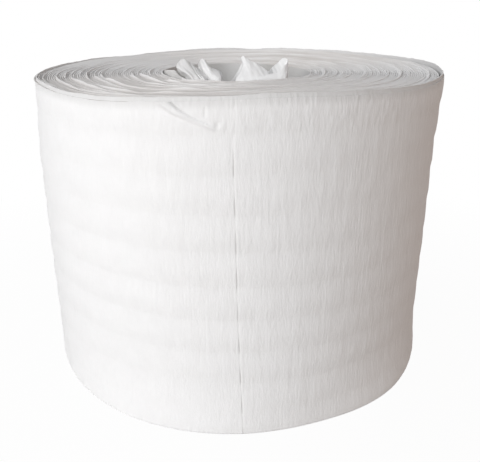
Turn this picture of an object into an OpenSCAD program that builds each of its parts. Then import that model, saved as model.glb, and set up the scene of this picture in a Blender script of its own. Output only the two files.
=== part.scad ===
// Coreless roll of perforated nonwoven wipes, standing on its end.
// One continuous web: the wound turns, and the loose inner end that stands in the hollow.

/* [Web] */
// Width of the web, so the height of the roll
web_w = 152; // [130:1:200]
// Diameter over the last turn
roll_d = 207; // [185:1:260]
// Diameter of the hollow that the winding mandrel left
hollow_d = 76; // [72:1:90]
// Length of a sheet, from one perforation line to the next
sheet_len = 203; // [150:1:300]

/* [Last turn] */
// Thickness of the last turn where it lies apart from the ones inside
last_turn_t = 1.2; // [0.8:0.1:2]
// How far the top edge of the last turn sits below the rim
last_turn_drop = 2.6; // [1:0.1:5]
// Width of the groove along the free end of the web
tail_gap = 1; // [0.6:0.1:2]

/* [Perforation] */
// Height of the lowest tie above the foot
first_tie = 10.7; // [8:0.1:14]
// Spacing of the ties
tie_pitch = 15.75; // [12:0.25:20]
// Height of a tie, which stays uncut
tie_len = 2.6; // [1.5:0.1:5]
// Width of a slit
slit_w = 0.5; // [0.3:0.1:1]
// How far the turns swell between two rows of ties
band_swell = 0.5; // [0.2:0.1:1]
// Depth of a slit below the dip at a row of ties
slit_depth = 0.6; // [0.3:0.1:1]

/* [Corner crease] */
// Length of the crease beside the front perforation line
crease_len = 27; // [15:1:35]
// Slope of the crease
crease_slope = 24; // [15:1:35]
// Distance between the two folds of the crease
crease_fold = 3; // [2:0.5:5]
// Width of each fold line
crease_line = 0.6; // [0.4:0.1:1]

/* [Ends] */
// Width of the rim, whose turns stand level
rim_w = 6; // [4:0.5:10]
// Rounding of the rim and of the foot
edge_round = 3; // [1:0.5:4]
// How far the top sinks from the rim to the hollow
end_dish = 4; // [2:0.5:6]
// Spacing of the turns that stand proud on the top
turn_pitch = 4.2; // [3.5:0.1:6]
// Width of a standing turn at its top
turn_edge_t = 0.7; // [0.5:0.1:1]
// Gap between the feet of neighbouring standing turns
turn_gap = 1.6; // [1:0.1:2.5]
// Depth of the valleys between standing turns
turn_relief = 2.4; // [1.5:0.1:3.5]
// How far the height of a standing turn wanders
turn_wave = 0.7; // [0.2:0.1:1]
// Width of the groove between turns on the underside
foot_groove_w = 0.8; // [0.5:0.1:1.2]
// Depth of that groove
foot_groove_depth = 0.6; // [0.3:0.1:1]

/* [Inner end] */
// Thickness of the loose inner end with its folds
loose_t = 1.2; // [0.8:0.1:1.6]
// Height of the lower edge of the loose end above the foot
loose_lift = 4; // [2:1:10]
// How far its highest corner stands above the rim
loose_rise = 7; // [5:0.5:10]

/* [Hidden] */
$fn = 96;
web_white = [0.95, 0.95, 0.95];
roll_r = roll_d / 2;
hollow_r = hollow_d / 2;
inside_r = roll_r - last_turn_t;
last_turn_top = web_w - last_turn_drop;
rim_inner_r = inside_r - rim_w;
slit_floor_r = roll_r - band_swell - slit_depth;
front = -90;
sheet_angle = 360 * sheet_len / (PI * roll_d);
line_count = max(1, floor(360 / sheet_angle));
tie_count = 1 + floor((last_turn_top - first_tie - tie_len) / tie_pitch);
spiral_start_r = hollow_r + turn_pitch / 2;
spiral_end_r = rim_inner_r - turn_pitch / 2;
spiral_turns = (spiral_end_r - spiral_start_r) / turn_pitch;
top_steps = 36;
foot_steps = 30;
edge_steps = 4;
band_steps = 4;
// Where a rounded edge stops short of the wall, in degrees
edge_stop = 15;
// Waves a turn in the height of the standing turns, and in their lean
rise_rates = [2.3, 3.7, 5.9];
lean_rate = 4.3;
buried = 1.5;
overcut = 5;

function mix(a, b, t) = a + (b - a) * t;
function side_r(z) = roll_r - band_swell * (1 + cos(360 * (z - first_tie) / tie_pitch)) / 2;
function end_z(r) = web_w - end_dish * (inside_r - r) / (inside_r - hollow_r);
function floor_z(r) = end_z(r) - turn_relief;
function spiral_r(turn) = spiral_start_r + turn_pitch * turn;
function round_points(centre, r, from, to) =
    [for (i = [0 : edge_steps]) let (a = mix(from, to, i / edge_steps)) centre + r * [cos(a), sin(a)]];

// Half section of the wound turns, from the hollow out over the foot, up the side and back over the top
function side_points() =
    let (n = ceil(band_steps * (last_turn_top - edge_round) / tie_pitch))
    [for (i = [0 : n]) let (z = mix(edge_round, last_turn_top, i / n)) [side_r(z), z]];
function section() = concat(
    [[hollow_r, 0]],
    round_points([side_r(edge_round) - edge_round, edge_round], edge_round, -90, -edge_stop),
    side_points(),
    [[inside_r, last_turn_top]],
    round_points([inside_r - edge_round, web_w - edge_round], edge_round, edge_stop, 90),
    [[rim_inner_r, web_w], [rim_inner_r, floor_z(rim_inner_r)], [hollow_r, floor_z(hollow_r)]]);

module wound_turns() {
    rotate_extrude() polygon(section());
}

// Slits of one perforation line, with the ties left between them
module perforation_line() {
    for (k = [0 : tie_count - 1]) {
        z = first_tie + k * tie_pitch + tie_len / 2;
        slit_len = min(tie_pitch - tie_len, last_turn_top + overcut - z);
        translate([slit_floor_r, -slit_w / 2, z])
            cube([roll_r - slit_floor_r + overcut, slit_w, slit_len]);
    }
}

module perforation() {
    for (k = [0 : line_count - 1])
        rotate([0, 0, front + k * sheet_angle]) perforation_line();
}

// The free end of the web is a torn perforation, one sheet back from the front line
module tail_groove() {
    rotate([0, 0, front - sheet_angle])
        translate([roll_r - band_swell - last_turn_t / 2, -tail_gap / 2, -overcut])
            cube([last_turn_t + overcut, tail_gap, last_turn_top + overcut]);
}

// Two fold lines run down from the edge of the last turn to the front perforation line
module corner_crease() {
    intersection() {
        difference() {
            cylinder(r = roll_r + overcut, h = web_w);
            translate([0, 0, -overcut]) cylinder(r = slit_floor_r, h = web_w + 2 * overcut);
        }
        rotate([0, 0, front]) for (side = [0, 1])
            translate([roll_r, 0, last_turn_top - crease_len * sin(crease_slope) + side * crease_fold])
                rotate([-crease_slope, 0, 0])
                    translate([-overcut, -crease_len, -crease_line / 2])
                        cube([2 * overcut, crease_len - crease_fold, crease_line]);
    }
}

// Outline of a spiral band of the given width, which follows the turns
function spiral_band(width, steps) =
    let (n = floor(spiral_turns * steps))
    [for (side = [-1, 1], i = [0 : n])
        let (turn = (side < 0 ? i : n - i) / steps, r = spiral_r(turn) + side * width / 2)
        r * [cos(360 * turn), sin(360 * turn)]];

module foot_groove() {
    translate([0, 0, -overcut])
        linear_extrude(height = overcut + foot_groove_depth)
            polygon(spiral_band(foot_groove_w, foot_steps));
}

// Crest of a standing turn: it wanders up and down and in and out, and sinks at both ends of the spiral
function crest_fade(turn) = min(1, 2 * turn, 2 * (spiral_turns - turn));
function crest_wander(turn) = [for (rate = rise_rates) sin(360 * turn * rate)] * [1, 1, 1] / 3;
function crest_r(turn) = spiral_r(turn) + turn_wave / 2 * sin(360 * turn * lean_rate);
function crest_z(turn) =
    mix(floor_z(crest_r(turn)) - buried / 2, end_z(crest_r(turn)) + turn_wave * crest_wander(turn),
        crest_fade(turn));
function turn_section(turn) =
    let (r = spiral_r(turn), base = (turn_pitch - turn_gap) / 2, z = floor_z(r) - buried)
    [[r - base, z], [r + base, z],
     [crest_r(turn) + turn_edge_t / 2, crest_z(turn)],
     [crest_r(turn) - turn_edge_t / 2, crest_z(turn)]];

// Wall through a row of four-cornered sections, each listed from its left foot round to its left top
module wall_through(corners) {
    n = len(corners) / 4 - 1;
    sides = [for (i = [0 : n - 1], k = [0 : 3])
        [4 * i + k, 4 * i + (k + 1) % 4, 4 * (i + 1) + (k + 1) % 4, 4 * (i + 1) + k]];
    ends = [[3, 2, 1, 0], [for (k = [0 : 3]) 4 * n + k]];
    polyhedron(corners, concat(sides, ends));
}

// Web edges that stand along the spiral, sunk into the top of the wound turns
module standing_turns() {
    wall_through([for (i = [0 : floor(spiral_turns * top_steps)]) let (turn = i / top_steps)
        for (p = turn_section(turn)) [p[0] * cos(360 * turn), p[0] * sin(360 * turn), p[1]]]);
}

// Top edge of the loose inner end, seen from above: [x, y, height above the rim] as shares of the
// hollow's radius and of the rise of its highest corner. It starts inside the wall of the hollow,
// follows that wall round to the front and stands up there in three folds.
loose_edge = [
    [-0.64, 0.88, -0.8], [-0.82, 0.48, -0.5], [-0.88, 0.10, -0.3], [-0.85, -0.22, 0.0],
    [-0.77, -0.45, 0.6], [-0.66, -0.55, 0.9], [-0.54, -0.58, 0.3], [-0.45, -0.66, -0.7],
    [-0.40, -0.51, 0.0], [-0.46, -0.31, 1.0], [-0.35, -0.21, 0.7], [-0.24, -0.32, 0.1],
    [-0.21, -0.50, -0.4], [-0.13, -0.61, -0.7], [-0.08, -0.45, 0.3], [-0.05, -0.32, 1.0],
    [0.13, -0.24, 0.6], [0.39, -0.24, 0.0], [0.55, -0.31, 0.5], [0.63, -0.45, 0.8],
    [0.59, -0.63, -0.6], [0.34, -0.69, -0.8], [0.10, -0.62, -0.8]];
loose_steps = 3;
tangent_step = 0.1;

function spline(p, t) =
    let (last = len(p) - 1, i = min(floor(t), last - 1), f = t - i,
         a = p[max(i - 1, 0)], b = p[i], c = p[i + 1], d = p[min(i + 2, last)])
    b + f / 2 * (c - a + f * (2 * a - 5 * b + 4 * c - d + f * (3 * b - a - 3 * c + d)));
function loose_plan(t) = let (p = spline(loose_edge, t)) hollow_r * [p[0], p[1]];
function loose_top(t) = web_w + loose_rise * spline(loose_edge, t)[2];
function loose_side(t) =
    let (a = loose_plan(max(0, t - tangent_step)),
         b = loose_plan(min(len(loose_edge) - 1, t + tangent_step)), d = b - a)
    [-d[1], d[0]] / norm(d);

module loose_end() {
    wall_through([for (i = [0 : (len(loose_edge) - 1) * loose_steps])
        let (t = i / loose_steps, half = loose_t / 2 * loose_side(t))
        for (corner = [[1, loose_lift], [-1, loose_lift], [-1, loose_top(t)], [1, loose_top(t)]])
            let (p = loose_plan(t) + corner[0] * half) [p[0], p[1], corner[1]]]);
}

module wipe_roll() {
    color(web_white) {
        difference() {
            wound_turns();
            perforation();
            tail_groove();
            corner_crease();
            foot_groove();
        }
        standing_turns();
        loose_end();
    }
}

wipe_roll();
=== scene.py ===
import math

import bpy
import numpy as np
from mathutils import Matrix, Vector


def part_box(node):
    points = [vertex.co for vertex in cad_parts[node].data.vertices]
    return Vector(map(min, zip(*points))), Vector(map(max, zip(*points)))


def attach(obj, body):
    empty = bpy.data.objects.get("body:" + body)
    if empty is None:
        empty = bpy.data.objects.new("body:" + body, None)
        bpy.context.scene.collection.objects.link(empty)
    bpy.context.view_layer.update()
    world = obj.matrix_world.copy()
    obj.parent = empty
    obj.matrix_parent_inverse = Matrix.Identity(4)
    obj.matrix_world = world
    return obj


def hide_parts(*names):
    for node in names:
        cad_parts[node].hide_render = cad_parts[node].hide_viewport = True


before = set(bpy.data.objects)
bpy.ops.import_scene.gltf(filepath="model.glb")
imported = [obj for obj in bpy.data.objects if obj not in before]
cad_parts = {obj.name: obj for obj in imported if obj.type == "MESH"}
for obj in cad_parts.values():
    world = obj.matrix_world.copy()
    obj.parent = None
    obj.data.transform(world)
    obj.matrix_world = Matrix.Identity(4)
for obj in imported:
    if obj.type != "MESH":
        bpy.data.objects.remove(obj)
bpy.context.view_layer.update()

mm = 0.001
rollLow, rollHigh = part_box("wipe_roll")

roll = {
    "radius": (rollHigh.x - rollLow.x) / 2,    # over the last turn
    "webWidth": 152 * mm,                      # height of the rim
    "hollowRadius": 38 * mm,
    "sheetLength": 203 * mm,
    "firstTie": 10.7 * mm,
    "tiePitch": 15.75 * mm,
    "tieLength": 2.6 * mm,
    "lastTurnDrop": 1.55 * mm,                 # how far the edge of the last turn sits below the rim
    "endDish": 1.2 * mm,                       # how far the top sinks towards the hollow
    "endCurve": 1.3,                           # the power with which it sinks
}
front = -math.pi / 2
sheetAngle = roll["sheetLength"] / roll["radius"]
tailAngle = front - sheetAngle


# Smooth chance, with no picture behind it

rippleCells = 4096    # a ripple comes round again after so many cells
patchRows = 256       # and patches after so many rows


def ease(t):
    t = np.clip(t, 0, 1)
    return t * t * (3 - 2 * t)


def hump(x, centre, width):
    return np.exp(-((x - centre) / width) ** 2)


def turnedFrom(angle, centre):    # signed angle from the centre, between minus and plus half a turn
    return (angle - centre + math.pi) % (2 * math.pi) - math.pi


def ripple(x, seed):
    x = np.asarray(x, float)
    table = np.random.default_rng(seed).uniform(-1, 1, rippleCells)
    cell = np.floor(x).astype(int)
    f = ease(x - cell)
    return table[cell % rippleCells] * (1 - f) + table[(cell + 1) % rippleCells] * f


def patches(x, y, around, seed):    # smooth both ways, and x comes round again after so many cells
    table = np.random.default_rng(seed).uniform(-1, 1, (around, patchRows))
    cx = np.floor(x).astype(int)
    cy = np.floor(y).astype(int)
    fx = ease(x - cx)
    fy = ease(y - cy)
    low, high = (table[cx % around, row] * (1 - fx) + table[(cx + 1) % around, row] * fx
                 for row in (cy % patchRows, (cy + 1) % patchRows))
    return low * (1 - fy) + high * fy


def roundNoise(angle, z, size, height, seed):    # cells of that size round the roll and that height along it
    around = max(3, round(2 * math.pi * roll["radius"] / size))
    return patches(angle / (2 * math.pi) * around, z / height, around, seed)


# Meshes from grids of points

def quadGrid(rows, columns, closed=False):
    across = np.arange(columns if closed else columns - 1)
    low = np.arange(rows - 1)[:, None] * columns
    a = low + across
    b = low + (across + 1) % columns
    return np.stack([a, b, b + columns, a + columns], -1).reshape(-1, 4)


def meshPiece(name, points, quads, sharpAngle=None):
    mesh = bpy.data.meshes.new(name)
    mesh.vertices.add(len(points))
    mesh.vertices.foreach_set("co", np.asarray(points, np.float32).ravel())
    mesh.loops.add(quads.size)
    mesh.loops.foreach_set("vertex_index", quads.astype(np.int32).ravel())
    mesh.polygons.add(len(quads))
    mesh.polygons.foreach_set("loop_start", np.arange(0, quads.size, 4, dtype=np.int32))
    mesh.update(calc_edges=True)
    mesh.polygons.foreach_set("use_smooth", np.ones(len(quads), bool))
    if sharpAngle:
        mesh.set_sharp_from_angle(angle=sharpAngle)
    mesh.validate()
    piece = bpy.data.objects.new(name, mesh)
    bpy.context.scene.collection.objects.link(piece)
    return piece


# Painted shade: each point's share of its web's shade colour, blended into its colour
def shadePiece(piece, shares):    # how deep each point lies in the shade of the web round it
    layer = piece.data.attributes.new("painted_shade", "FLOAT", "POINT")
    layer.data.foreach_set("value", np.clip(shares, 0, 1).astype(np.float32).ravel())


def onRoll(radius, angle, z):
    return np.stack(np.broadcast_arrays(radius * np.cos(angle), radius * np.sin(angle), z), -1)


# The soft top isn't level: degrees from the front, and the height of the edge of the last turn in mm
edgeHeights = [(-180, 150.6), (-168, 150.7), (-152, 149.5), (-140, 149.0), (-120, 149.1), (-98, 149.0),
               (-75, 149.6), (-54, 150.2), (-46, 149.1), (-36, 149.1), (-26, 149.8), (-18, 150.6),
               (-11, 151.2), (-5, 151.7), (3, 152.3), (13, 152.8), (25, 152.5), (40, 151.7), (55, 151.2),
               (75, 151.4), (92, 151.9), (124, 151.6), (154, 151.4)]
softCorner = 4    # degrees


def aroundPath(table, turned, column=1):    # straight from row to row round the roll, with soft corners
    places = [row[0] for row in table]
    values = [row[column] for row in table]
    steps = (-softCorner, 0, softCorner)
    return sum(np.interp(turned + step, places, values, period=360) for step in steps) / 3


def endRise(angle, radius):    # added to every height near the top
    turned = np.degrees(turnedFrom(angle, front))
    rise = aroundPath(edgeHeights, turned) * mm - (roll["webWidth"] - roll["lastTurnDrop"])
    return rise * (radius / roll["radius"]) ** roll["endCurve"]


def endHeight(radius):
    share = (roll["radius"] - radius) / (roll["radius"] - roll["hollowRadius"])
    return roll["webWidth"] - roll["endDish"] * share ** roll["endCurve"]


# The last turn

lastTurn = {
    "frontStep": 0.47 * mm,    # between two columns of points, in front and at the back
    "backStep": 0.64 * mm,
    "inset": 0.35 * mm,        # mean face below the widest bulge
    "footRound": 1.4 * mm,
    "bandSwell": 0.70 * mm,
    "crepe": 0.12 * mm,
    "crepePitch": 1.5 * mm,
    "crepeLength": 5 * mm,
    "sag": 0.35 * mm,          # slow bulges and dips of the soft roll
    "ply": 0.45 * mm,
    "footFlare": 24 * mm,      # height up to which the foot spreads
    "rimFlare": 112 * mm,      # height from which the rim spreads or leans in
    "foldsFrom": 139.2 * mm,   # rows of points lie close from this height up
    "foldRows": 22,
    "thinEdge": 4 * mm,        # the upper edge is thin, and painted shade greys it this far down
    "edgeShade": 0.26,         # how grey the painted shade makes it
    "rimShade": 0.34,          # painted shade on the web behind it, over the rim
}
# The lines of slits across the web
perforation = {
    "slitHalf": 0.32 * mm,
    "slitDepth": 0.20 * mm,
    # painted shade inside a gaping slit
    "slitShade": 0.50,
    "openOver": 0.05,          # a slit opens over this share of its length, from its lower end
    "closeFrom": 0.30,         # and closes from here on, over the next share
    "closeOver": 0.45,
    "openSlits": 136.5 * mm,   # slits gape below this height
    "ridge": 0.04 * mm,        # the web beside the slits stands proud
    "ridgeAside": 1.1 * mm,
    "ridgeHalf": 0.45 * mm,
    "lowRidge": 0.3,           # share of the ridge that is left low down
    "ridgeFrom": 132 * mm,     # it grows from this height, over the next one
    "ridgeGrowth": 8 * mm,
    "strayHalf": 14 * mm,      # the web strays with the line as far as this beside it
}
# The soft roll isn't a true round: degrees from the front, and how far it stands out at its foot, at half
# its height and at its rim, in mm
bulges = [(-180, 0.8, 0, 0), (-110, 0.6, 0.5, -0.8), (-80, 0.6, 0.7, -1.2), (-60, 1.0, 0.5, -0.8),
          (-46, 1.8, 0.2, -0.3), (-26, 2.4, 0, 0), (-12, 2.0, 0, 0), (0, 1.3, 0, 0), (11, 0.6, 0, 0),
          (23, 0.3, 0, 0.1), (38, 2.3, 0, 0.4), (48, 3.2, 0, 0.8), (62, 2.2, 0, 1.2), (90, 1.0, 0, 1.3),
          (130, 0.6, 0, 0.5)]
# Where the front perforation line strays from upright: height and sideways offset in mm
lineStray = [(0, 3.1), (30, 2.0), (60, 0.8), (92, 0.1), (124, -0.8), (135, -0.7), (152, -0.6)]


def slitGape(z):    # a slit gapes most above its lower end, and has closed well below the next tie
    aboveTie = (z - roll["firstTie"] - roll["tieLength"] / 2) % roll["tiePitch"]
    share = aboveTie / (roll["tiePitch"] - roll["tieLength"])
    closed = ease((share - perforation["closeFrom"]) / perforation["closeOver"])
    gape = ease(share / perforation["openOver"]) * (1 - closed)
    return gape * ease((perforation["openSlits"] - z) / (1 * mm))


def perforationDip(offset, z):
    slit = slitGape(z) * perforation["slitDepth"] * hump(offset, 0, perforation["slitHalf"])
    growth = ease((z - perforation["ridgeFrom"]) / perforation["ridgeGrowth"])
    ridge = perforation["ridge"] * (perforation["lowRidge"] + (1 - perforation["lowRidge"]) * growth)
    return ridge * hump(offset, perforation["ridgeAside"], perforation["ridgeHalf"]) - slit


# The corner of the last turn is folded over itself beside the front line
pleat = {
    "left": -33 * mm,           # where the fold begins and ends, along the roll
    "right": -5.5 * mm,
    "proud": 0.50,              # depths in mm: the folded strip, and more of it in its left half
    "proudLeft": 0.15,
    "upperGroove": 0.32,
    "lowerGroove": 0.20,
    "knot": 0.10,
    "dimple": 0.26,
    "mark": 0.20,               # an upright crease
    "markPlace": -11.4 * mm,
    "markLow": 145.2 * mm,
    "markHigh": 149.8 * mm,
    "lineShade": 0.36,          # painted shade along the dark upper line of the fold
    # painted shade in the dimple
    "dimpleShade": 0.22,
}
# Its lower and upper line: along the roll, then height, in mm
pleatLow = [(-33, 150.2), (-25, 146.6), (-20.5, 144.8), (-12, 141.6), (-7.5, 140.2), (-4, 138.8)]
pleatHigh = [(-33, 156.4), (-27, 152.9), (-24.6, 150.9), (-22.3, 148.8), (-17, 145.7), (-13.3, 144.2),
             (-9, 142.3), (-4, 139.9)]


def pleatLift(offset, z):
    low, high = (np.interp(offset, *(np.array(path).T * mm)) for path in (pleatLow, pleatHigh))
    share = (z - low) / (high - low)
    inside = ease((offset - pleat["left"]) / (5 * mm)) * ease((pleat["right"] - offset) / (6 * mm))
    leftHalf = ease((-17 * mm - offset) / (6 * mm))
    rising = ease(share / (0.60 - 0.25 * leftHalf))
    falling = 1 - ease((share - 0.80) / 0.20)
    strip = (pleat["proud"] + pleat["proudLeft"] * leftHalf) * rising * falling
    grooves = pleat["upperGroove"] * hump(share, 1.04, 0.12)
    grooves = grooves + pleat["lowerGroove"] * hump(share, -0.08, 0.10) * leftHalf
    knot = pleat["knot"] * hump(offset, -4.9 * mm, 1.0 * mm) * hump(z, 142.2 * mm, 1.5 * mm)
    dimple = pleat["dimple"] * hump(offset, -6.9 * mm, 1.0 * mm) * hump(z, 142.8 * mm, 1.2 * mm)
    inMark = ease((z - pleat["markLow"]) / (0.8 * mm)) * ease((pleat["markHigh"] - z) / (0.8 * mm))
    mark = pleat["mark"] * hump(offset, pleat["markPlace"], 0.55 * mm)
    return (inside * (strip - grooves) + knot - dimple - inMark * mark) * mm


def pleatShade(offset, z):    # painted shade: the upper line is darkest near its left end
    high = np.interp(offset, *(np.array(pleatHigh).T * mm))
    along = ease((offset + 28 * mm) / (4 * mm)) * (1 - ease((offset + 23 * mm) / (12 * mm)))
    line = pleat["lineShade"] * along * hump(z, high, 0.55 * mm)
    spot = pleat["dimpleShade"] * hump(offset, -7.2 * mm, 1.0 * mm) * hump(z, 142.8 * mm, 1.5 * mm)
    return line + spot


def bulge(angle, z):
    turned = np.degrees(turnedFrom(angle, front))
    atFoot = ease(1 - z / lastTurn["footFlare"])
    atRim = ease((z - lastTurn["rimFlare"]) / (roll["webWidth"] - lastTurn["rimFlare"]))
    foot, middle, rim = (aroundPath(bulges, turned, column) * mm for column in (1, 2, 3))
    return foot * atFoot + rim * atRim + middle * (1 - atFoot - atRim)


def lastTurnHeights(top):    # rows crowd where ties end and where the corner is folded
    curve = np.linspace(0, math.pi / 2, 6)[:-1]
    rows = list(lastTurn["footRound"] * (1 - np.cos(curve))) + [lastTurn["footRound"], 5.5 * mm]
    tie = roll["firstTie"]
    half = roll["tieLength"] / 2
    foldsFrom = lastTurn["foldsFrom"]
    while tie < foldsFrom:
        rows += [tie, tie + half + 0.5 * mm]
        further = [tie + rise * mm for rise in (4.8, 8.2, 11.6)]
        if further[-1] < foldsFrom:
            rows += further
        tie += roll["tiePitch"]
    return np.array(rows + list(np.linspace(foldsFrom, top, lastTurn["foldRows"])))


# Over the upper edge and down its back, then up and over the turn beneath, which makes the rim: how far
# inwards and how far up in mm, where None is the crest of the rim
overEdge = [(0.40, -0.05), (0.50, -1.3), (0.62, -0.7), (0.70, 0.0), (0.80, None), (1.25, None), (1.45, -1.6)]


def makeLastTurn():
    radius = roll["radius"]
    top = roll["webWidth"] - roll["lastTurnDrop"]
    crowd = np.array([0.05, 0.16, 0.28, 0.42, 0.6, 0.9, 1.3]) * mm    # columns beside the lines of slits
    fine = np.concatenate([-crowd[::-1], crowd])
    lines = [front + i * sheetAngle for i in range(3)]
    halves = [np.arange(start, start + math.pi - 0.5 * step / radius, step / radius)
              for start, step in ((-math.pi, lastTurn["frontStep"]), (0, lastTurn["backStep"]))]
    extra = [turnedFrom(line + fine / radius, 0) for line in lines]
    tail = turnedFrom(tailAngle + np.array([-0.5, -0.04, 0.04, 0.5]) * mm / radius, 0)
    angle = np.sort(np.concatenate(halves + extra + [tail]))
    z, angle = np.meshgrid(lastTurnHeights(top), angle, indexing="ij")
    meshAngle = angle
    offset = turnedFrom(angle, front) * radius
    # The roll grows by one ply a turn, up to the free end of the web
    past = (tailAngle - angle) % (2 * math.pi) / (2 * math.pi)
    r = radius - lastTurn["inset"] - lastTurn["ply"] * past
    inFoot = np.clip(1 - z / lastTurn["footRound"], 0, 1)
    r = r - lastTurn["footRound"] * (1 - np.sqrt(np.maximum(0, 1 - inFoot ** 2)))
    body = ease(z / lastTurn["footRound"])
    band = np.cos(2 * math.pi * (z - roll["firstTie"]) / roll["tiePitch"])
    bandShare = 0.55 + 0.45 * roundNoise(angle, z, 90 * mm, 60 * mm, 3)
    r = r - body * lastTurn["bandSwell"] * bandShare * (0.5 + 0.5 * band) ** 2
    r = r + body * lastTurn["sag"] * roundNoise(angle, z, 55 * mm, 70 * mm, 4)
    crepe = np.abs(roundNoise(angle, z, lastTurn["crepePitch"], lastTurn["crepeLength"], 5))
    crepe = crepe + 0.6 * roundNoise(angle, z, 2.6 * lastTurn["crepePitch"], 1.7 * lastTurn["crepeLength"], 6)
    r = r + body * lastTurn["crepe"] * (crepe - 0.4)
    r = r + bulge(angle, z)
    for line in lines:
        r = r + body * perforationDip(turnedFrom(angle, line) * radius, z)
    # The front line strays sideways, and so does the web beside it
    heights, strays = np.array(lineStray).T * mm
    angle = angle + np.interp(z, heights, strays) / radius * hump(offset, 0, perforation["strayHalf"])
    torn = ripple(z / (0.9 * mm), 7) * 0.25 * mm + ripple(z / (7 * mm), 8) * 0.5 * mm
    angle = angle + torn / radius * hump(turnedFrom(angle, tailAngle) * radius, 0, 2.5 * mm)
    z = z + ease((z - 0.55 * top) / (0.45 * top)) * endRise(angle, r)
    r = r + pleatLift(turnedFrom(angle, front) * radius, z)
    edge = 0.35 * mm * roundNoise(angle[-1], z[-1] * 0, 22 * mm, 1, 9)
    edge = edge + 0.15 * mm * roundNoise(angle[-1], z[-1] * 0, 4 * mm, 1, 10)
    z = z + ease((z - 0.9 * top) / (0.1 * top)) * edge
    rows = [onRoll(r, angle, z)]
    smoothTop = r[-4] - pleatLift(offset[-4], z[-4])    # what lies behind the fold isn't folded
    crestRise = roll["lastTurnDrop"] + 0.25 * mm * roundNoise(angle[-1], z[-1] * 0, 15 * mm, 1, 11)
    for inward, rise in overEdge:
        height = z[-1] + (crestRise if rise is None else rise * mm)
        start = r[-1] if inward < 0.45 else smoothTop
        rows.append(onRoll(start - inward * mm, angle[-1], height)[None])
    points = np.concatenate(rows)
    count, columns = points.shape[:2]
    quads = quadGrid(count, columns, closed=True)
    piece = meshPiece("last_turn", points.reshape(-1, 3), quads, math.radians(70))
    # Painted shade: over the rim, along the thin upper edge, on the fold and in the slits
    shade = np.full((count, columns), lastTurn["rimShade"])
    flat = lastTurnHeights(top)[:, None]
    web = lastTurn["edgeShade"] * ease((flat - top) / lastTurn["thinEdge"] + 1) + pleatShade(offset, z)
    for line in lines:
        inSlit = hump(turnedFrom(meshAngle, line) * radius, 0, 0.8 * perforation["slitHalf"])
        web = web + perforation["slitShade"] * slitGape(flat) * inSlit
    shade[:len(flat)] = web
    shadePiece(piece, shade)
    return piece


# The ends of the turns, as one strip of web edges wound into a spiral

turnEdges = {
    "pitch": 1.02 * mm,
    "crest": 0.42 * mm,        # width of a web edge
    "firstTurn": 0.63,         # where the innermost turn starts, as a share of a turn
    "samples": 330,            # points a turn
    "lowEdges": 1.6 * mm,      # how far the other edges lie below the highest
    "standingWidth": 0.55 * mm,
    "groove": 0.50 * mm,       # between two low edges
    "standingGroove": 0.45 * mm,    # this much deeper where the edges stand
    "grooveShade": 0.25,       # painted shade: how much greyer than the edges the groove looks
    "farDrop": 0.06 * mm,      # the outer side of an edge lies a little lower
    "even": 0.75,              # how much more evenly the turns lie at the back left
    "evenAt": -125,            # where that is, and half how wide: degrees from the front
    "evenHalf": 45,
    "topInset": 2.0 * mm,      # the strip ends inside the rim, and further in at the rounded foot
    "footInset": 3 * mm,
    "footClear": 0.10 * mm,    # the edges at the foot stand off the ground
    "footWaves": 0.06 * mm,
    "footGroove": 0.8 * mm,
    # painted shade on the edges at the foot
    "footShade": 0.3,
}
# Round the top: degrees from the front, how far the turns stand up, and how grey painted shade makes their
# low edges
topLook = [(-180, 0.7, 0.65), (-155, 0.6, 0.4), (-140, 0.45, 0.1), (-125, 0.4, 0.0), (-105, 0.45, 0.0),
           (-90, 0.9, 0.0), (-80, 1.0, 0.35), (-66, 1.0, 0.65), (-50, 1.0, 0.7), (-38, 0.95, 0.8),
           (-20, 0.85, 0.88), (-7, 0.75, 0.85), (7, 0.6, 0.66), (20, 0.5, 0.53), (42, 0.4, 0.2),
           (60, 0.4, 0.0), (88, 0.5, 0.0), (98, 0.6, 0.25), (135, 0.65, 0.85), (155, 0.7, 0.9)]
# Radii at which a bundle of turns stands up from its neighbours, from the rim inwards, and how far up
standingTurns = [(100.4, 0.7), (97.2, 0.6), (94.0, 0.35), (91.0, 0.9), (87.6, 0.45), (84.2, 0.8), (81.2, 0.5),
                 (77.0, 1.0), (73.6, 0.4), (70.0, 0.65), (67.0, 0.4), (64.5, 0.5), (61.6, 0.35), (59.0, 0.7),
                 (55.6, 0.7), (51.6, 0.8), (48.8, 0.4), (46.0, 0.8), (42.0, 0.6), (39.2, 0.7)]


def standing(angle, radius):    # 1 where a turn stands at full height, 0 where it lies low
    most = np.zeros_like(radius)
    for i, (centre, share) in enumerate(standingTurns):
        start = 40 * i    # each bundle has a stretch of the ripples to itself
        wander = (1.1 * ripple(angle * 1.1 + start, 20) + 0.4 * ripple(angle * 3.7 + start, 21)) * mm
        here = share + 0.35 * ripple(angle * 1.9 + start, 22) + 0.35 * ripple(angle * 6.1 + start, 23)
        near = hump(radius, centre * mm + wander, turnEdges["standingWidth"])
        most = np.maximum(most, np.clip(here, 0, 1) * near)
    return most


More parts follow.
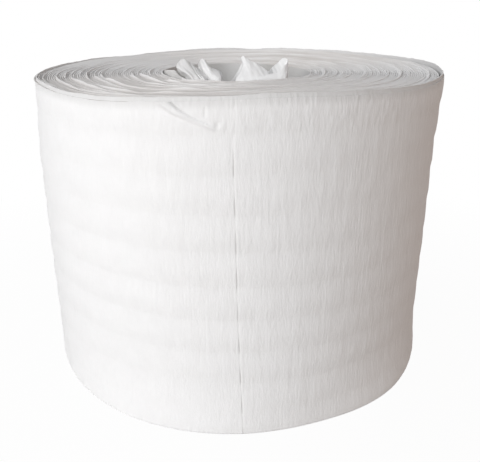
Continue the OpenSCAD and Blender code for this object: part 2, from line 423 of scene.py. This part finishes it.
def makeTurnEdges(name, inner, outer, height, flip):
    pitch = turnEdges["pitch"]
    samples = turnEdges["samples"]
    count = int((outer - inner) / pitch * samples)
    turn = np.arange(count + 1) / samples
    angle = 2 * math.pi * (turn + turnEdges["firstTurn"])
    radius = inner + pitch * (turn + 0.5)
    crestZ, valleyZ, lean, paintedShade = height(angle, radius, turn)
    half = turnEdges["crest"] / 2
    valley = onRoll(radius - pitch / 2, angle, valleyZ)
    near = onRoll(radius - half + lean, angle, crestZ)
    far = onRoll(radius + half + lean, angle, crestZ - turnEdges["farDrop"])
    points = np.stack([valley, near, far], 1).reshape(-1, 3)
    i = np.arange(count)
    j = np.arange(count - samples)
    # From the groove up to the web edge and over it, then down to the groove of the next turn
    strips = [np.stack([3 * i + k, 3 * i + k + 1, 3 * i + k + 4, 3 * i + k + 3], -1) for k in (0, 1)]
    strips.append(np.stack([3 * j + 2, 3 * (j + samples), 3 * (j + samples + 1), 3 * j + 5], -1))
    quads = np.concatenate(strips)
    if flip:
        quads = quads[:, ::-1]
    piece = meshPiece(name, points, quads, math.radians(55))
    # Painted shade on the turn edges, greyer still in the grooves
    shadePiece(piece, np.stack([paintedShade + turnEdges["grooveShade"], paintedShade, paintedShade], 1))
    return piece


def topHeight(angle, radius, turn):    # heights of edge and groove, the edge's sideways lean, and its shade
    turned = np.degrees(turnedFrom(angle, front))
    top = endHeight(radius) + endRise(angle, radius)
    up = standing(angle, radius) * aroundPath(topLook, turned)
    waves = (0.22 * ripple(turn * 14, 30) + 0.14 * ripple(turn * 47, 31) + 0.09 * ripple(turn * 131, 36)) * mm
    even = 1 - turnEdges["even"] * hump(turned, turnEdges["evenAt"], turnEdges["evenHalf"])
    crest = top - turnEdges["lowEdges"] * (1 - up) * even + waves * (0.5 + up) * even
    valley = crest - turnEdges["groove"] * even - turnEdges["standingGroove"] * up
    lean = 0.12 * mm * ripple(turn * 19, 32) + 0.25 * mm * up * ripple(turn * 9, 33)
    # The last value is painted shade on the low edges, which changes round the top
    return crest, valley, lean, (1 - up) * aroundPath(topLook, turned, 2)


def footHeight(angle, radius, turn):
    crest = turnEdges["footClear"] + turnEdges["footWaves"] * ripple(turn * 11, 34)
    lean = 0.1 * mm * ripple(turn * 13, 35)
    return crest, crest + turnEdges["footGroove"], lean, turnEdges["footShade"] + 0 * turn


# The hollow: the back of the innermost turn

hollow = {
    "lowerEdge": 0.6 * mm,
    "bulges": 0.35 * mm,       # small bulges and dips of the wall
    "sag": 0.5 * mm,           # slow ones
    "steady": 0.08,            # they fade out over this share below the upper edge, which meets the top
}
# Where the wall lies in shade: degrees from the front, and how dark it looks
wallLook = [(-180, 0.35), (165, 0.35), (158, 0.8), (150, 1.0), (142, 0.9), (110, 0.4), (80, 0.4), (0, 0.5),
            (-90, 0.5), (-150, 0.5), (-160, 0.75), (-166, 0.7), (-172, 0.45)]


def makeHollow():
    turn = np.arange(turnEdges["samples"] + 1) / turnEdges["samples"]
    innermost = roll["hollowRadius"] + turnEdges["pitch"] * turn
    around = 2 * math.pi * (turn + turnEdges["firstTurn"])
    top = topHeight(around, innermost + turnEdges["pitch"] / 2, turn)[1]    # the first groove
    up = np.concatenate([np.linspace(0, 0.88, 30), np.linspace(0.9, 1, 12)])
    share, turn = np.meshgrid(up, turn, indexing="ij")
    angle = 2 * math.pi * (turn + turnEdges["firstTurn"])
    z = hollow["lowerEdge"] + (top - hollow["lowerEdge"]) * share
    soft = hollow["bulges"] * patches(turn * 90, z / (16 * mm), 90, 40)
    soft = soft + hollow["sag"] * patches(turn * 9, z / (50 * mm), 9, 41)
    points = onRoll(innermost + soft * ease((1 - share) / hollow["steady"]), angle, z)
    rows, columns = points.shape[:2]
    piece = meshPiece("hollow_wall", points.reshape(-1, 3), quadGrid(rows, columns, closed=True)[:, ::-1])
    shadePiece(piece, aroundPath(wallLook, np.degrees(turnedFrom(angle, front))))
    return piece


# The loose inner end

looseEnd = {
    "thickness": 0.35 * mm,
    "throat": 6 * mm,          # the web runs straight down this far from the mouth of the hollow
    "deep": 118 * mm,          # heights of the rows below it
    "low": 60 * mm,
    "lowerEdge": 7 * mm,
    "narrower": 0.9,           # width of those rows, as a share of the mouth's
    "across": 10,              # points from one column of web to the next
    "wrinkle": 0.24 * mm,
    "crease": 0.12 * mm,
    "foldShade": 0.28,         # painted shade greys the folds on the left
    "foldsAt": -13 * mm,
    "wallShade": 0.5,          # and the web that runs along the wall too, up to a height
    "wallAt": -24 * mm,
    "wallTop": 152.6 * mm,
}
# Columns of web from left to right, each with its top edge, its middle and its place in the mouth of the
# hollow, in mm
looseColumns = [
    ((-22, 30, 147), (-22, 30, 145), (-22, 30, 142)),          # along the wall of the hollow
    ((-30, 21.5, 148), (-30, 21.5, 146), (-30, 21.5, 142)),
    ((-36.5, 5, 150), (-36.5, 5, 148), (-36.5, 5, 143)),
    ((-37.4, -6, 151), (-37, -6, 149), (-36, -7, 145)),
    ((-35.7, -12, 151.8), (-34.5, -14, 150), (-32, -17, 148)),
    ((-31.2, -15.6, 152), (-29.2, -18, 150), (-26, -22, 148)),
    ((-29.8, -14, 151.2), (-27.6, -16, 149), (-24.2, -19.6, 147.6)),
    ((-29, -14, 155.5), (-29.5, -18.5, 153.5), (-23, -24, 149.5)),      # left tongue, with its pleats
    ((-28, -15, 157), (-26.5, -21, 153.5), (-21.5, -27, 149.5)),
    ((-26, -16, 157.5), (-23.5, -22, 153), (-19.5, -27.5, 148.5)),
    ((-24.5, -17, 156.5), (-21.5, -22.5, 152.5), (-18, -28, 148.5)),
    ((-23.3, -16.4, 155.8), (-20.5, -22, 152.3), (-17.3, -27.2, 148.5)),
    ((-22, -17.5, 155), (-19.5, -23, 151.8), (-16.5, -28, 148.5)),
    ((-21, -17, 154.3), (-18.7, -22.3, 151.4), (-16, -27.5, 148.5)),
    ((-20, -18, 153.3), (-17.7, -23, 150.7), (-15.2, -28, 148.5)),
    ((-19.7, -13.2, 153.2), (-17.5, -17.2, 150.8), (-14.8, -22.5, 148)),
    ((-19.5, -12, 154.4), (-17, -15.5, 151.2), (-14.3, -20.5, 148)),
    ((-18.7, -13, 156), (-16.3, -18.4, 152.3), (-12.9, -24.4, 148.5)),    # middle tongue, curled
    ((-17.8, -14.2, 157.4), (-14.8, -21, 153), (-11.8, -27, 148.5)),
    ((-16.5, -15.5, 157.5), (-13.5, -22.5, 153), (-10.5, -28, 148.5)),
    ((-14.5, -17, 155.5), (-11.5, -23, 152), (-9.5, -28.5, 149)),
    ((-12.5, -18, 153.5), (-9.5, -23.5, 151.5), (-8, -28, 149)),
    ((-9.5, -18.5, 152.5), (-8, -22.5, 151), (-7.5, -26, 149)),
    ((-8, -14, 151), (-7.5, -16, 149.5), (-7.5, -18.5, 148.5)),
    ((-11, -10, 150.5), (-10, -10, 149.5), (-8.5, -11, 147.5)),
    ((-15, -10, 154), (-12.5, -9, 151), (-10.5, -8, 147.5)),
    ((-17, -11, 155.5), (-14.5, -9, 152), (-12, -6, 148)),
    ((-13, -3, 149), (-11, -2, 147), (-10, -1, 143)),
    ((-4, -5, 145), (-4, -5, 143.5), (-4, -5, 140)),
    ((3, -9, 155.5), (3.5, -10, 151.5), (2, -12, 147)),
    ((2, -15, 157.5), (3, -19, 154), (-0.5, -25, 148)),                 # crown
    ((3, -16, 159), (4.5, -21.5, 154), (2, -27.5, 148.5)),
    ((5, -17, 157.8), (6, -23, 153.5), (5.5, -28.5, 148.5)),
    ((8.5, -18.5, 156.2), (9, -24, 152.5), (9.5, -29, 148.5)),
    ((12, -20, 154.4), (12, -25, 151.6), (12.5, -29.5, 148.5)),
    ((15.5, -21.5, 152.4), (15.5, -25.5, 150.5), (16, -29, 148.5)),
    ((17.5, -17, 153.5), (18, -21, 151), (18.5, -26.5, 148.5)),
    ((20.5, -14, 155.5), (20.5, -19, 152), (21, -25.5, 148.5)),
    ((23, -13, 157.5), (23, -18, 153), (22.5, -24.5, 149)),
    ((25, -14, 157.5), (25, -18.5, 153), (24, -24, 148.5)),
    ((25, -18.5, 156), (25, -21.5, 153), (24.5, -25.5, 149)),
    ((23.5, -22, 155), (23.5, -25, 152), (23.5, -28.5, 149)),           # lip in front of the crown
    ((20.5, -25, 152.5), (20.5, -27.5, 150.5), (20.5, -30, 148.5)),
    ((16, -26.5, 151.5), (16, -28.5, 150), (16, -30.5, 148.5)),
    ((12, -27.5, 150.5), (12, -29, 149.5), (12, -30.5, 148.5)),
    ((8, -28, 149.5), (8, -29, 149), (8.5, -30.5, 148.5)),
]


def spline(points, t):    # a smooth curve through rows of points, where t counts the rows
    points = np.asarray(points, float)
    last = len(points) - 1
    i = np.clip(np.floor(t).astype(int), 0, last - 1)
    f = (t - i)[:, None]
    shape = (len(t), -1)
    a, b, c, d = (points[np.clip(i + k, 0, last)].reshape(shape) for k in (-1, 0, 1, 2))
    made = b + f / 2 * (c - a + f * (2 * a - 5 * b + 4 * c - d + f * (3 * b - a - 3 * c + d)))
    return made.reshape((len(t),) + points.shape[1:])


def webNormals(grid):
    across = np.gradient(grid, axis=1)
    down = np.gradient(grid, axis=0)
    normal = np.cross(across, down)
    return normal / np.maximum(np.linalg.norm(normal, axis=-1, keepdims=True), 1e-12)


def makeLooseEnd():
    upper, middle, mouth = (np.array(row) * mm for row in zip(*looseColumns))
    deep = mouth * (looseEnd["narrower"], 1, 0) + np.array([0, 0, looseEnd["deep"]])
    low = deep * (1, 1, 0) + np.array([0, 0, looseEnd["low"]])
    lowest = deep * (1, 1, 0) + np.array([0, 0, looseEnd["lowerEdge"]])
    throat = mouth - np.array([0, 0, looseEnd["throat"]])
    grid = np.stack([upper, middle, mouth, throat, deep, low, lowest], 1)
    columns = (len(looseColumns) - 1) * looseEnd["across"] + 1
    grid = spline(grid, np.linspace(0, len(looseColumns) - 1, columns))
    down = np.concatenate([np.linspace(0, 2, 22)[:-1], np.linspace(2, 4, 12)[:-1], np.linspace(4, 6, 9)])
    grid = spline(np.swapaxes(grid, 0, 1), down)
    # Soft wrinkles that run down the web, and finer creases across them
    halfway = grid[10]    # a row halfway up the tongues
    steps = np.linalg.norm(np.diff(halfway, axis=0), axis=-1)
    along = np.concatenate([[0], np.cumsum(steps)])[None, :]
    height = grid[..., 2]
    wrinkle = np.abs(patches(along / (3.2 * mm) + 0 * height, height / (15 * mm), 256, 50)) - 0.4
    crease = patches(along / (1.3 * mm) + 0.6 * height / mm, height / (5 * mm), 256, 51)
    move = looseEnd["wrinkle"] * wrinkle + looseEnd["crease"] * crease
    grid = grid + webNormals(grid) * move[..., None]
    rows, columns = grid.shape[:2]
    piece = meshPiece("loose_end", grid.reshape(-1, 3), quadGrid(rows, columns))
    x = grid[..., 0]
    z = grid[..., 2]
    # Painted shade on the left folds and on the web along the wall
    leftFoldShade = looseEnd["foldShade"] * ease((looseEnd["foldsAt"] - x) / (7 * mm))
    atWall = ease((looseEnd["wallAt"] - x) / (3 * mm)) * ease((looseEnd["wallTop"] - z) / (1.5 * mm))
    shadePiece(piece, leftFoldShade + looseEnd["wallShade"] * atWall)
    length = sum(face.area for face in piece.data.polygons) / roll["webWidth"]
    print("loose end: web of", round(length, 3), "m")
    skin = piece.modifiers.new("web", "SOLIDIFY")
    skin.thickness = looseEnd["thickness"]
    skin.offset = 0
    return piece, length


# Shader maths as plain sums

class Wire:
    def __init__(self, shader, socket):
        self.shader = shader
        self.socket = socket

    def joined(self, operation, first, second):
        return self.shader.add("ShaderNodeMath", {"operation": operation}, {0: first, 1: second})

    def __add__(self, other):
        return self.joined("ADD", self, other)

    def __sub__(self, other):
        return self.joined("SUBTRACT", self, other)

    def __rsub__(self, other):
        return self.joined("SUBTRACT", other, self)

    def __mul__(self, other):
        return self.joined("MULTIPLY", self, other)

    def __truediv__(self, other):
        return self.joined("DIVIDE", self, other)

    def __pow__(self, other):
        return self.joined("POWER", self, other)

    __radd__ = __add__
    __rmul__ = __mul__


class Shader:
    def __init__(self, owner):    # a material or a world
        owner.use_nodes = True
        self.owner = owner
        self.tree = owner.node_tree
        self.tree.nodes.clear()

    def add(self, kind, settings=None, values=None, output=0):
        node = self.tree.nodes.new(kind)
        for key, value in (settings or {}).items():
            setattr(node, key, value)
        for key, value in (values or {}).items():
            if isinstance(value, Wire):
                self.tree.links.new(value.socket, node.inputs[key])
            else:
                node.inputs[key].default_value = value
        return Wire(self, node.outputs[output]) if len(node.outputs) else None

    def clamp(self, value):
        return self.add("ShaderNodeClamp", None, {"Value": value, "Min": 0.0, "Max": 1.0})

    def blend(self, share, first, second):
        return self.add("ShaderNodeMix", {"data_type": "RGBA"}, {0: share, 6: first, 7: second}, 2)


webFinish = {
    "white": (0.87, 0.867, 0.87, 1),
    "thick": (0.79, 0.785, 0.785, 1),        # where fibres lie close
    # Colours of painted shade, which each point's shade share blends in
    "paintedShadeEdges": (0.54, 0.51, 0.49, 1),    # where web edges lie low, in each other's shade
    "paintedShadeWall": (0.50, 0.49, 0.475, 1),
    "paintedShadeSide": (0.42, 0.41, 0.40, 1),
    "roughness": 0.92,
    "sheen": 0.25,
    "gloss": 0.25,
    "fibre": 0.35 * mm,
    "streak": 0.9 * mm,
    "squeeze": 0.22,       # streaks are drawn out along the roll
    "cloud": 9 * mm,
    "fibreMark": 0.5,      # how much fibres, streaks and clouds show in the colour
    "streakMark": 0.4,
    "cloudMark": 0.6,
    "thickShare": 0.35,
    "bump": 0.9,
}
# Each web: how far its fibres and its crepe stand out, and its colour of painted shade
webs = {
    "web_side": (0.06 * mm, 0.16 * mm, "paintedShadeSide"),
    "web_edges": (0.06 * mm, 0.02 * mm, "paintedShadeEdges"),
    "web_wall": (0.05 * mm, 0.05 * mm, "paintedShadeWall"),
    "web_loose": (0.05 * mm, 0.03 * mm, "paintedShadeWall"),
}


def webMaterial(name, fibreBump, crepeBump, painted_shade):
    shader = Shader(bpy.data.materials.new(name))
    place = shader.add("ShaderNodeTexCoord", output="Object")
    parts = shader.add("ShaderNodeSeparateXYZ", None, {0: place})
    x, y, z = (Wire(shader, parts.socket.node.outputs[k]) for k in range(3))
    around = shader.add("ShaderNodeMath", {"operation": "ARCTAN2"}, {0: y, 1: x}) * roll["radius"]
    wrapped = shader.add("ShaderNodeCombineXYZ", None, {0: around, 1: z, 2: (x * x + y * y) ** 0.5})
    stretched = shader.add("ShaderNodeVectorMath", {"operation": "MULTIPLY"}, {
        0: wrapped, 1: (1, webFinish["squeeze"], 1)})
    streaks = shader.add("ShaderNodeTexNoise", None, {
        "Vector": stretched, "Scale": 1 / webFinish["streak"], "Detail": 3.0, "Roughness": 0.6})
    fibres = shader.add("ShaderNodeTexNoise", None, {
        "Vector": wrapped, "Scale": 1 / webFinish["fibre"], "Detail": 4.0, "Roughness": 0.7})
    clouds = shader.add("ShaderNodeTexNoise", None, {
        "Vector": place, "Scale": 1 / webFinish["cloud"], "Detail": 3.0, "Roughness": 0.55})
    marks = (fibres - 0.5) * webFinish["fibreMark"] + (streaks - 0.5) * webFinish["streakMark"]
    marks = marks + (clouds - 0.5) * webFinish["cloudMark"]
    share = shader.clamp(marks + webFinish["thickShare"])
    colour = shader.blend(share, webFinish["white"], webFinish["thick"])
    # Painted shade: the colour is blended towards the web's shade colour by each point's share
    paintedShade = shader.add("ShaderNodeAttribute", {"attribute_name": "painted_shade"}, output="Fac")
    colour = shader.blend(paintedShade, colour, webFinish[painted_shade])
    height = fibres * fibreBump + streaks * crepeBump
    bump = shader.add("ShaderNodeBump", None, {
        "Height": height, "Distance": 1.0, "Strength": webFinish["bump"]})
    base = shader.add("ShaderNodeBsdfPrincipled", None, {
        "Base Color": colour, "Roughness": webFinish["roughness"], "Normal": bump,
        "Sheen Weight": webFinish["sheen"], "Specular IOR Level": webFinish["gloss"]})
    shader.add("ShaderNodeOutputMaterial", None, {"Surface": base})
    return shader.owner


# Floor, lamps, world and camera

stage = {
    "floorSize": 12.0,
    "floorColour": (0.62, 0.61, 0.60, 1),
    "floorDim": (0.26, 0.20, 0.155, 1),    # painted shade: the floor's matt colour is darker to the right of the roll
    "dimFrom": -0.02,       # from here rightwards, over the next width
    "dimOver": 0.14,
    "floorWhite": 0.97,     # share of white that the camera sees near the roll
    "whiteFrom": 0.12,      # it grows from here outwards, over the next width, to all white
    "whiteOver": 0.20,
    "worldColour": (0.97, 0.98, 1.0, 1),
    "worldLight": 0.265,
    "lampTarget": (0, 0, 0.08),
}
# Lamps: place, size, power and colour
lamps = {
    "key": ((-1.02, -1.00, 0.78), 1.3, 18.4, (1.0, 1.0, 1.0)),
    "front_fill": ((0.16, -1.75, 0.70), 1.4, 7.8, (1.0, 1.0, 1.0)),
    "warm_side": ((0.9, 0.1, 0.25), 0.5, 0.95, (1.0, 0.60, 0.38)),
}


def lightPathShare(shader):    # 1 for what the camera sees, straight or in a gloss or through glass
    rays = shader.add("ShaderNodeLightPath")
    seen = [Wire(shader, rays.socket.node.outputs[k]) for k in
            ("Is Camera Ray", "Is Glossy Ray", "Is Transmission Ray")]
    return shader.clamp(seen[0] + seen[1] + seen[2])


def makeFloor():
    half = stage["floorSize"] / 2
    corners = np.array([(-half, -half, 0), (half, -half, 0), (half, half, 0), (-half, half, 0)])
    floor = meshPiece("floor", corners, np.array([[0, 1, 2, 3]]))
    shader = Shader(bpy.data.materials.new("floor"))
    place = shader.add("ShaderNodeTexCoord", output="Object")
    away = shader.add("ShaderNodeVectorMath", {"operation": "LENGTH"}, {0: place}, "Value")
    far = shader.clamp((away - stage["whiteFrom"]) / stage["whiteOver"])
    white = lightPathShare(shader) * (far * (1 - stage["floorWhite"]) + stage["floorWhite"])
    # Painted shade: the matt colour darkens to the right of the roll, so less light comes back from there
    sideways = shader.add("ShaderNodeSeparateXYZ", None, {0: place})
    dim = shader.clamp((sideways - stage["dimFrom"]) / stage["dimOver"])
    colour = shader.blend(dim, stage["floorColour"], stage["floorDim"])
    matt = shader.add("ShaderNodeBsdfDiffuse", None, {"Color": colour})
    bright = shader.add("ShaderNodeEmission", None, {"Color": (1, 1, 1, 1), "Strength": 1.0})
    mixed = shader.add("ShaderNodeMixShader", None, {0: white, 1: matt, 2: bright})
    shader.add("ShaderNodeOutputMaterial", None, {"Surface": mixed})
    floor.data.materials.append(shader.owner)


def makeWorld():
    world = bpy.data.worlds.new("studio")
    bpy.context.scene.world = world
    shader = Shader(world)
    room = shader.add("ShaderNodeBackground", None, {
        "Color": stage["worldColour"], "Strength": stage["worldLight"]})
    white = shader.add("ShaderNodeBackground", None, {"Color": (1, 1, 1, 1), "Strength": 1.0})
    mixed = shader.add("ShaderNodeMixShader", None, {0: lightPathShare(shader), 1: room, 2: white})
    shader.add("ShaderNodeOutputWorld", None, {"Surface": mixed})


def makeLamp(name, place, target, size, power, colour):
    lamp = bpy.data.lights.new(name, "AREA")
    lamp.shape = "DISK"
    lamp.size = size
    lamp.energy = power
    lamp.color = colour
    holder = bpy.data.objects.new(name, lamp)
    holder.location = place
    aim = Vector(target) - Vector(place)
    holder.rotation_euler = aim.to_track_quat("-Z", "Y").to_euler()
    bpy.context.scene.collection.objects.link(holder)


view = {
    "place": (1.6 * mm, -321.9 * mm, 189.6 * mm),
    "down": math.radians(22.1),
    "focal": 595,           # in pixels of a frame 480 wide
    "frameWidth": 480,
    "sensor": 36,
    "clipStart": 0.01,
}


def makeCamera():
    camera = bpy.data.cameras.new("camera")
    camera.sensor_width = view["sensor"]
    camera.lens = view["focal"] / view["frameWidth"] * view["sensor"]
    camera.clip_start = view["clipStart"]
    holder = bpy.data.objects.new("camera", camera)
    holder.location = view["place"]
    holder.rotation_euler = (math.pi / 2 - view["down"], 0, 0)
    bpy.context.scene.collection.objects.link(holder)
    bpy.context.scene.camera = holder


makeCamera()
print("camera is set")

lastTurnPiece = makeLastTurn()
print("last turn:", len(lastTurnPiece.data.polygons), "quads")
innerEdge = roll["hollowRadius"]
outerEdge = roll["radius"] - turnEdges["topInset"]
topPiece = makeTurnEdges("turn_edges_top", innerEdge, outerEdge, topHeight, flip=False)
footEdge = outerEdge - turnEdges["footInset"]
footPiece = makeTurnEdges("turn_edges_foot", innerEdge, footEdge, footHeight, flip=True)
print("turn edges:", len(topPiece.data.polygons), "and", len(footPiece.data.polygons), "quads")
hollowPiece = makeHollow()
loosePiece, looseLength = makeLooseEnd()
print("hollow and loose end:", len(hollowPiece.data.polygons), len(loosePiece.data.polygons), "quads")

materials = {name: webMaterial(name, *values) for name, values in webs.items()}
finishes = [(lastTurnPiece, "web_side"), (topPiece, "web_edges"), (footPiece, "web_edges"),
            (hollowPiece, "web_wall"), (loosePiece, "web_loose")]
for piece, web in finishes:
    piece.data.materials.append(materials[web])
    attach(piece, "root")
    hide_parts("wipe_roll")
print("finishes are on")

makeFloor()
makeWorld()
for name, (place, size, power, colour) in lamps.items():
    makeLamp(name, place, stage["lampTarget"], size, power, colour)
bpy.context.scene.view_settings.view_transform = "Standard"
